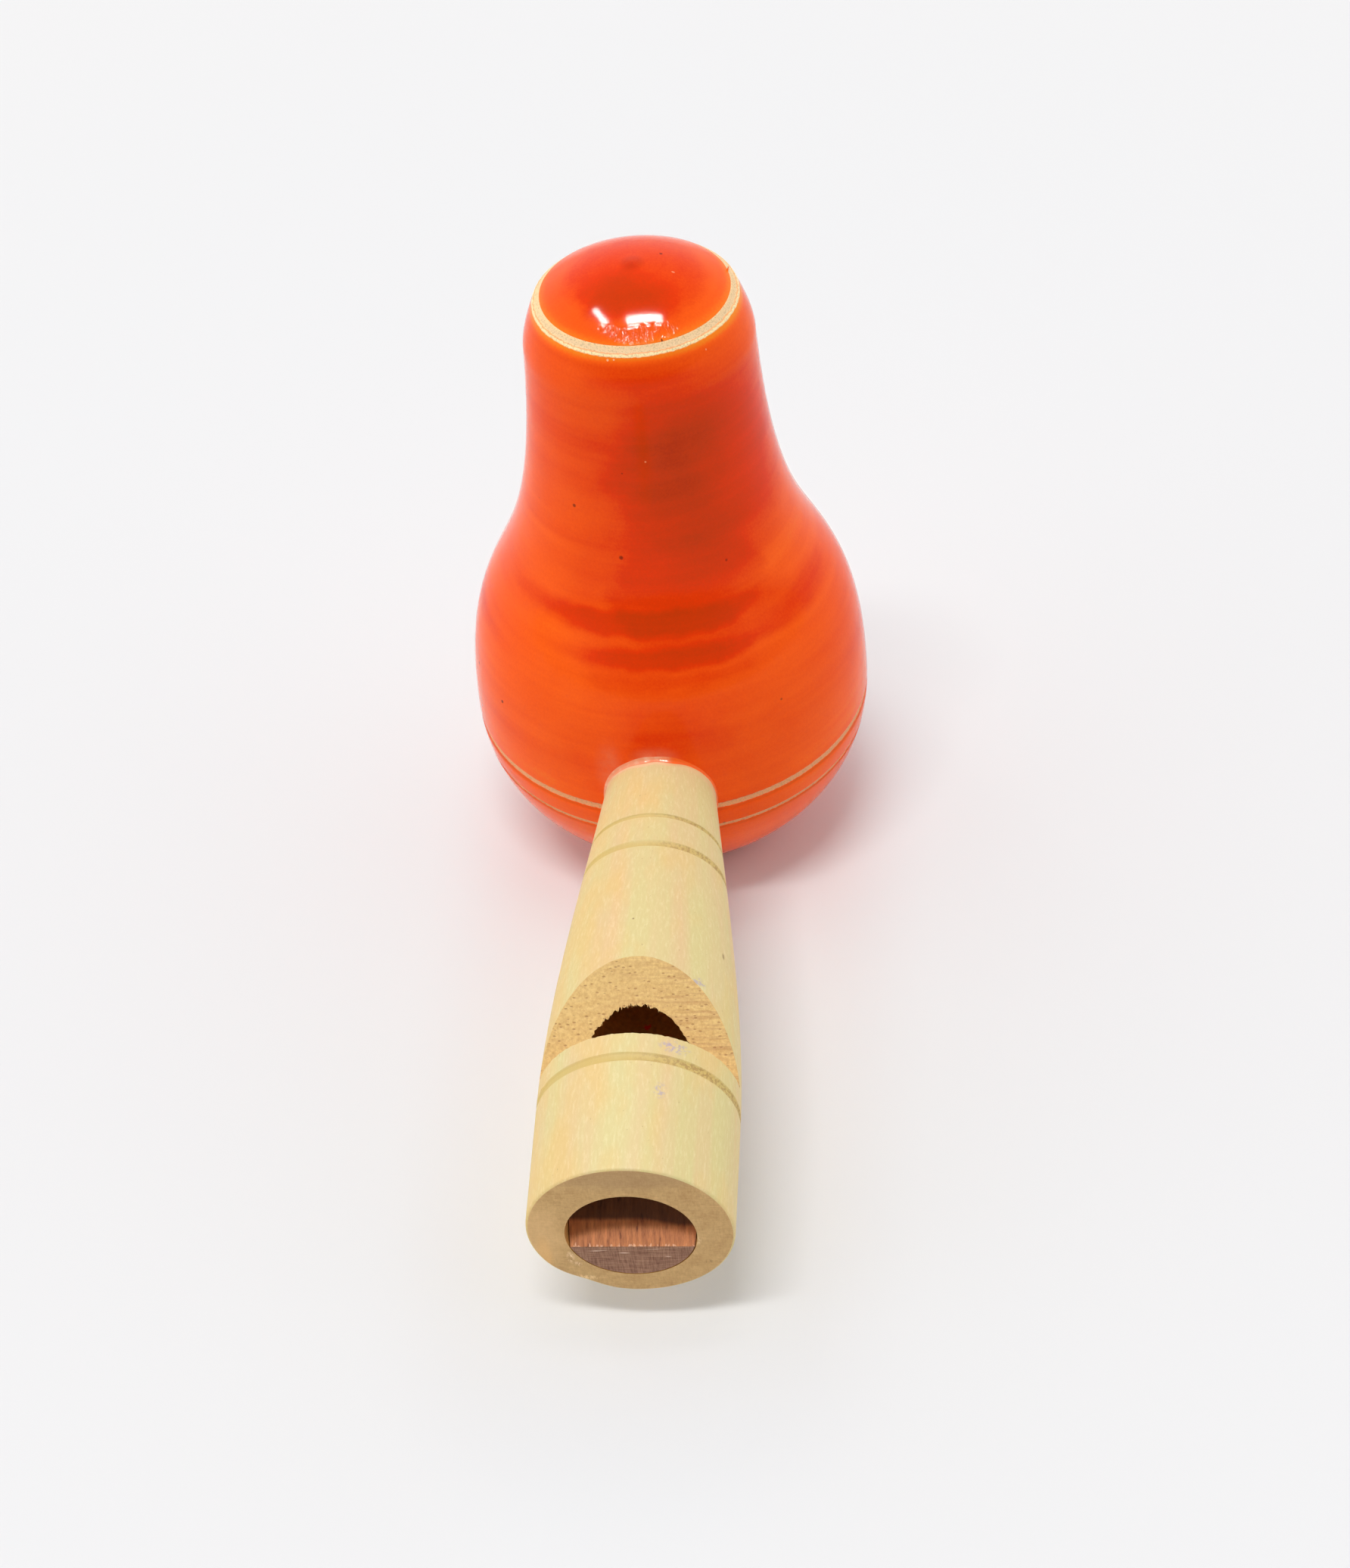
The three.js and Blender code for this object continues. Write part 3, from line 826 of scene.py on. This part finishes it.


# The end face is warmer and paler towards the left and darker across its top.
END_TONES = (
    (-7.6, -3.2, (0.8, 2.8), "#ecb264", 0.5),
    (-7.8, -0.5, (2.6, 5), "#f8cc90", 0.4),
    (0, 7.6, (8, 2), "#a5835c", 0.45),
)
END_CHIPS = (
    (6.3, -4.3, (0.45, 0.35), "#94703f", 0.7),
    (-5.4, -3.6, (0.35, 0.9), "#f3d3a6", 0.9),
    (-4.9, -4.6, (0.4, 0.4), "#f3d3a6", 0.8),
    (5.6, -1.2, (0.35, 0.7), "#f0cf9c", 0.6),
    # Painted highlight: this pale line along the worn lower-left rim is where the wear catches the light.
    (-5.2, -6.6, (2.4, 0.4), "#f6d49a", 1),
)
END_MARKS = ((0.5, 0.5, 0.5), (1.6, 6, 2), (6, 1.6, 2))
tube_finishes = (
    turned_wood(),
    cut_wood("sanded_end_grain", "#dfb97e", "#b58b54", END_MARKS, 0.17, END_TONES, END_CHIPS),
    bored_wood((-0.44, -5.58, 41.5, 0.4)),
    sawn_slope(),
)
for piece in (tube, bore, window):
    for finish in tube_finishes:
        piece.data.materials.append(finish)
cut(tube, bore)
cut(tube, window)

# Loose strands still hang over the lip of the slope, most of them a little left of its middle.
STRAND_COUNT = 40
LIP_HALF_WIDTH = 4.3
torn = random.Random(11)
strands = []
for _ in range(STRAND_COUNT):
    x = torn.triangular(-LIP_HALF_WIDTH, LIP_HALF_WIDTH, -1)
    roof = math.sqrt(BORE_RADIUS**2 - x**2)
    along = WINDOW_CUT - (roof - WINDOW_FOOT) / math.tan(RAMP_ANGLE)
    root = Vector((x, roof + 0.12, along - 0.22))
    tip = root + Vector((torn.uniform(-0.1, 0.1), torn.uniform(-0.24, -0.1), torn.uniform(0.26, 0.46)))
    strands.append((root, tip, torn.uniform(0.1, 0.2)))
splinter(tube, strands, 3)
tube.matrix_world = tube_place
tube.data.set_sharp_from_angle(angle=math.radians(35))
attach(tube, "root")
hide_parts("whistle_tube")

# Fipple block
# A half-round plug of darker wood, glued into the bore flush with the mouth. Its sawn top slopes up to the
# window and leaves the slit that aims the breath. Its front is sanded off with the mouthpiece.
WINDWAY_MOUTH_DROP = 2.1
WINDWAY_EXIT = 1.2
block_radius = BORE_RADIUS - GLUE_GAP


def block_top(along):
    """Height of the block's top above the tube's axis."""
    rise = BORE_RADIUS - WINDWAY_EXIT + WINDWAY_MOUTH_DROP
    return -WINDWAY_MOUTH_DROP + rise * (TUBE_LENGTH - along) / (TUBE_LENGTH - WINDOW_CUT)


def sawn_block_wood():
    """The block's sawn top: coppery, with saw lines along it and pale torn fibres at its front edge. Behind
    them it goes dark brown as painted shadow, where the mouth's upper rim shades it."""
    material, tree, spot = new_finish("sawn_red_wood")
    axes = add(tree, "SeparateXYZ", {0: spot}).node.outputs
    along = axes["Z"]
    line = stretched(tree, spot, (3.2, 1, 0.3), 4, 0.7)
    wood = stained(tree, colour("#a05b34"), line, 0.32, 0.66, 1, "#db8d54")
    wood = stained(tree, wood, line, 0.38, 0.32, 0.65, "#4a2210")
    # Painted shadow: the top goes dark brown past a line a little inside the mouth, nearer the mouth on the
    # right.
    aslant = add(tree, "MapRange", {"Value": axes["X"], "From Min": 1, "From Max": 4, "To Max": -0.5})
    roof_shadow_line = add(tree, "Math", {0: along, 1: aslant}, operation="ADD")
    painted_roof_shadow = {"Value": roof_shadow_line, "From Min": TUBE_LENGTH - 1.9, "From Max": TUBE_LENGTH - 2.35, "To Max": 0.8}
    painted_roof_shadow = add(tree, "MapRange", painted_roof_shadow, interpolation_type="SMOOTHSTEP")
    wood = add(tree, "Mix", {"Factor": painted_roof_shadow, "A": wood, "B": colour("#2c1207")}, data_type="RGBA")
    edge = {"Value": along, "From Min": TUBE_LENGTH - 0.7, "From Max": TUBE_LENGTH - 0.1, "To Max": 0.3}
    edge = add(tree, "MapRange", edge)
    torn = stretched(tree, spot, (4, 1, 1.2), 2)
    torn = add(tree, "Math", {0: torn, 1: edge}, operation="ADD")
    wood = stained(tree, wood, torn, 0.82, 0.9, 0.7, "#f7cba6")
    return surfaced(material, wood, line, 0.6, 0.12, 0.6)


sections = []
section_count = 60
arc_count = 64
top_count = 48
for i in range(section_count + 1):
    along = WINDOW_CUT + (TUBE_LENGTH - WINDOW_CUT) * i / section_count
    top = block_top(along)
    middle = -drop_at(along)
    half = math.sqrt(block_radius**2 - (top - middle) ** 2)
    start = math.atan2(top - middle, half)
    ring_points = []
    for j in range(arc_count + 1):
        angle = start + (-math.pi - 2 * start) * j / arc_count
        ring_points.append((block_radius * math.cos(angle), middle + block_radius * math.sin(angle)))
    for j in range(1, top_count):
        x = -half + 2 * half * j / top_count
        saw = 0.05 * noise.noise(Vector((x / 0.35, along / 4, 2)))
        ring_points.append((x, top + saw))
    sections.append([(x, v, along) for x, v in ring_points])
block = skinned("block", sections, lambda ring, place: int(place < arc_count), ends=1)
block.data.materials.append(sawn_block_wood())
BLOCK_CHIPS = (
    (-2.9, -2.7, (0.9, 0.14), "#e2c3aa", 0.8),
    (-0.8, -3.0, (0.5, 0.12), "#e2c3aa", 0.8),
    (1.6, -2.5, (0.7, 0.1), "#e2c3aa", 0.7),
    (2.9, -3.6, (0.3, 0.12), "#e2c3aa", 0.7),
)
BLOCK_MARKS = ((8, 0.6, 1), (0.6, 8, 1))
block.data.materials.append(
    cut_wood("sanded_red_end_grain", "#b08468", "#754c38", BLOCK_MARKS, 0.11, (), BLOCK_CHIPS)
)
block.data.set_sharp_from_angle(angle=math.radians(35))
block.matrix_world = tube_place
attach(block, "root")
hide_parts("fipple_block")

# Glue at the joint
# White glue squeezed out when the tube was pushed into its socket. It dried as a thin uneven bead, milky on
# the left and clear on the right, where the lacquer shows through it.
BEAD = 0.28
BEAD_SKIRT = 1.0
bead_count = 160


def beside_tube(angle, radius, along):
    """Point at an angle from the tube's top, a distance from its axis and a length along it."""
    return tube_place @ (Vector((radius * math.sin(angle), radius * math.cos(angle), along)) * MM) / MM


def on_pear(angle, radius):
    """Where a line along the tube, at this angle from its top and this radius, enters the pear."""
    low, high = TENON_START, 30
    for _ in range(40):
        middle = (low + high) / 2
        found = beside_tube(angle, radius, middle)
        inside = math.hypot(found.x, found.y) < radius_at(pear_side, found.z)
        low, high = (middle, high) if inside else (low, middle)
    return found, middle


def dried_glue(name, tint, roughness):
    """Dried white glue: thin and wet-looking, taking most of its colour from what lies under it."""
    material, tree, spot = new_finish(name)
    axes = add(tree, "SeparateXYZ", {0: spot}).node.outputs
    lumps = add(tree, "TexNoise", {"Vector": spot, "Scale": 1.6, "Detail": 2})
    clear_side = {"Value": axes["X"], "From Min": 0, "From Max": 1.8}
    clear_side = add(tree, "MapRange", clear_side, interpolation_type="SMOOTHSTEP")
    shown = {"Factor": clear_side, "A": colour(tint[0]), "B": colour(tint[1])}
    shown = add(tree, "Mix", shown, data_type="RGBA")
    cloudy = add(tree, "Math", {0: 1, 1: clear_side}, operation="SUBTRACT")
    shown = stained(tree, shown, lumps, 0.45, 0.7, 0.4, "#f6d2b4", cloudy)
    return surfaced(material, shown, lumps, 0.4, 0.1, roughness, 0.25)


loops = []
for i in range(bead_count):
    angle = 2 * math.pi * i / bead_count
    around = Vector((math.sin(angle), math.cos(angle), 0))
    uneven = 0.5 + 0.5 * noise.noise(around * 2.2 + Vector((4, 1, 0)))
    size = BEAD * (0.3 + uneven * (0.3 + 0.5 * max(0, math.cos(angle + 0.35))))
    reach = size + BEAD_SKIRT * uneven * max(0, math.cos(angle + 0.2)) ** 2
    _, entry = on_pear(angle, SHOULDER_RADIUS)
    radius = radius_at(tube_side, entry)
    outer, _ = on_pear(angle, radius + size * 1.5)
    lift = Vector((outer.x, outer.y, 0)).normalized() * 0.012
    skirt = radius_at(tube_side, entry + reach * 0.6) + 0.03 + size * 0.06
    section = [
        beside_tube(angle, radius - 0.02, entry - 0.6),
        beside_tube(angle, radius_at(tube_side, entry + reach) + 0.008, entry + reach),
        beside_tube(angle, skirt, entry + reach * 0.6),
        beside_tube(angle, radius + size * 0.38, entry + size * 0.4),
        beside_tube(angle, radius + size * 0.75, entry + size * 0.16),
        outer + lift,
        beside_tube(angle, radius + GLUE_GAP * 0.8, entry - 0.6),
    ]
    loops.append(section)
bead = skinned("glue_bead", loops, lambda ring, place: int(place >= 2), closed=True)
bead.data.materials.append(dried_glue("glue_on_wood", ("#f2cfa0", "#ecc490"), 0.25))
bead.data.materials.append(dried_glue("glue_on_lacquer", ("#f29a70", "#fb6a22"), 0.16))
bead.data.set_sharp_from_angle(angle=math.radians(60))
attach(bead, "root")

# Floor, light and camera
# A plain white floor, a soft surround that is dimmer overhead and to the front, and three long lamps.
# One is to the front and gives the shadows. Two, higher up, only show in the gloss, as the marks on the
# dome. The floor shows as its own white light to the camera, more so away from the piece and its shadow.
FLOOR_SIZE = 4
floor_mesh = bpy.data.meshes.new("floor")
corners = [(-1, -1), (1, -1), (1, 1), (-1, 1)]
floor_mesh.from_pydata([(x * FLOOR_SIZE / 2, y * FLOOR_SIZE / 2, 0) for x, y in corners], [], [(0, 1, 2, 3)])
floor = placed("floor", floor_mesh)
WHITE = colour("#f7f6f6")
paper, tree, spot = new_finish("white_paper")
under = add(tree, "SeparateXYZ", {0: spot}).node.outputs["Y"]
under = add(tree, "Clamp", {"Value": under, "Min": -TUBE_LENGTH, "Max": 0})
under = add(tree, "CombineXYZ", {"Y": under})
away = add(tree, "VectorMath", {0: spot, 1: under}, operation="DISTANCE")
share = 0
for start, end, most in ((14, 26, 0.38), (60, 320, 0.7)):
    more = {"Value": away, "From Min": start, "From Max": end, "To Max": most}
    more = add(tree, "MapRange", more, interpolation_type="SMOOTHSTEP")
    share = add(tree, "Math", {0: share, 1: more}, operation="ADD")
seen = add(tree, "LightPath").node.outputs["Is Camera Ray"]
share = add(tree, "Math", {0: share, 1: seen}, operation="MULTIPLY")
matt = add(tree, "BsdfPrincipled", {"Base Color": colour("#e2e4e8"), "Roughness": 0.9})
white = add(tree, "Emission", {"Color": WHITE, "Strength": 1.0})
matt = add(tree, "MixShader", {0: share, 1: matt, 2: white})
add(tree, "OutputMaterial", {"Surface": matt})
floor.data.materials.append(paper)

world = bpy.data.worlds.new("surround")
world.use_nodes = True
bpy.context.scene.world = world
sky = world.node_tree
sky.nodes.clear()
FRONT = Vector((0.12, -0.85, 0.5)).normalized()
direction = add(sky, "TexCoord").node.outputs["Generated"]
axes = add(sky, "SeparateXYZ", {0: direction}).node.outputs
level = add(
    sky, "MapRange", {"Value": axes["Z"], "From Min": 0.25, "From Max": 1, "To Min": 1.24, "To Max": 0.46}
)
low = {"Value": axes["Z"], "From Min": 0, "From Max": 0.36, "To Min": 0.25, "To Max": 1}
low = add(sky, "MapRange", low, interpolation_type="SMOOTHSTEP")
behind = {"Value": axes["Y"], "From Min": 0.1, "From Max": 0.8, "To Max": 0.8}
behind = add(sky, "MapRange", behind, interpolation_type="SMOOTHSTEP")
low = add(sky, "Mix", {"Factor": behind, "A": low, "B": 1.0})
level = add(sky, "Math", {0: level, 1: low}, operation="MULTIPLY")
aside = add(sky, "Math", {0: axes["X"]}, operation="ABSOLUTE")
facing = add(sky, "VectorMath", {0: direction, 1: FRONT}, operation="DOT_PRODUCT")
for source, start, end, most in ((aside, 0.3, 0.9, 1.5), (facing, 0.45, 0.97, 0.22)):
    change = {"Value": source, "From Min": start, "From Max": end, "To Min": 1, "To Max": most}
    change = add(sky, "MapRange", change, interpolation_type="SMOOTHSTEP")
    level = add(sky, "Math", {0: level, 1: change}, operation="MULTIPLY")
seen = add(sky, "LightPath").node.outputs["Is Camera Ray"]
level = add(sky, "Mix", {"Factor": seen, "A": level, "B": 1.0})
glow = add(sky, "Background", {"Color": WHITE, "Strength": level})
add(sky, "OutputWorld", {"Surface": glow})

LAMP_DISTANCE = 2.4
for name, aim, along, size, watts, only_gloss in (
    ("lamp_front", (-0.117, -0.344, 1), (1, 0, 0), (1.1, 0.22), 27, False),
    ("lamp_over", (0.06, 0.037, 0.99), (1, 0.2, 0), (0.9, 0.2), 120, True),
    ("lamp_left", (-0.385, 0.11, 0.9), (-0.5, 0.85, 0), (0.74, 0.12), 52, True),
):
    light = bpy.data.lights.new(name, "AREA")
    light.shape = "RECTANGLE"
    light.size, light.size_y = size
    light.energy = watts
    light.color = colour("#fffdf8")[:3]
    lamp = placed(name, light)
    lamp.visible_diffuse = not only_gloss
    outward = Vector(aim).normalized()
    across = (Vector(along) - outward * Vector(along).dot(outward)).normalized()
    turn = Matrix((across, outward.cross(across), outward)).transposed().to_4x4()
    lamp.matrix_world = Matrix.Translation(outward * LAMP_DISTANCE) @ turn

CAMERA_AZIMUTH = math.radians(7.077)
CAMERA_ELEVATION = math.radians(42.501)
CAMERA_ROLL = math.radians(-5.741)
CAMERA_DISTANCE = 345.94
CAMERA_TARGET = (-0.829, 2.212)
FOCAL_PIXELS = 4548.1
PHOTO_HEIGHT = 2072
SENSOR = 36
level_out = Vector((math.sin(CAMERA_AZIMUTH), -math.cos(CAMERA_AZIMUTH), 0))
level_right = Vector((math.cos(CAMERA_AZIMUTH), math.sin(CAMERA_AZIMUTH), 0))
target = level_right * CAMERA_TARGET[0] + Vector((0, 0, CAMERA_TARGET[1]))
outward = level_out * math.cos(CAMERA_ELEVATION) + Vector((0, 0, math.sin(CAMERA_ELEVATION)))
upright = outward.cross(level_right)
right = level_right * math.cos(CAMERA_ROLL) + upright * math.sin(CAMERA_ROLL)
up = upright * math.cos(CAMERA_ROLL) - level_right * math.sin(CAMERA_ROLL)
camera_data = bpy.data.cameras.new("camera")
camera_data.sensor_fit = "VERTICAL"
camera_data.sensor_height = SENSOR
camera_data.lens = FOCAL_PIXELS * SENSOR / PHOTO_HEIGHT
camera_data.clip_start = 0.01
camera = placed("camera", camera_data)
turn = Matrix((right, up, outward)).transposed().to_4x4()
camera.matrix_world = Matrix.Translation((target + outward * CAMERA_DISTANCE) * MM) @ turn
bpy.context.scene.camera = camera
bpy.context.scene.view_settings.view_transform = "Standard"
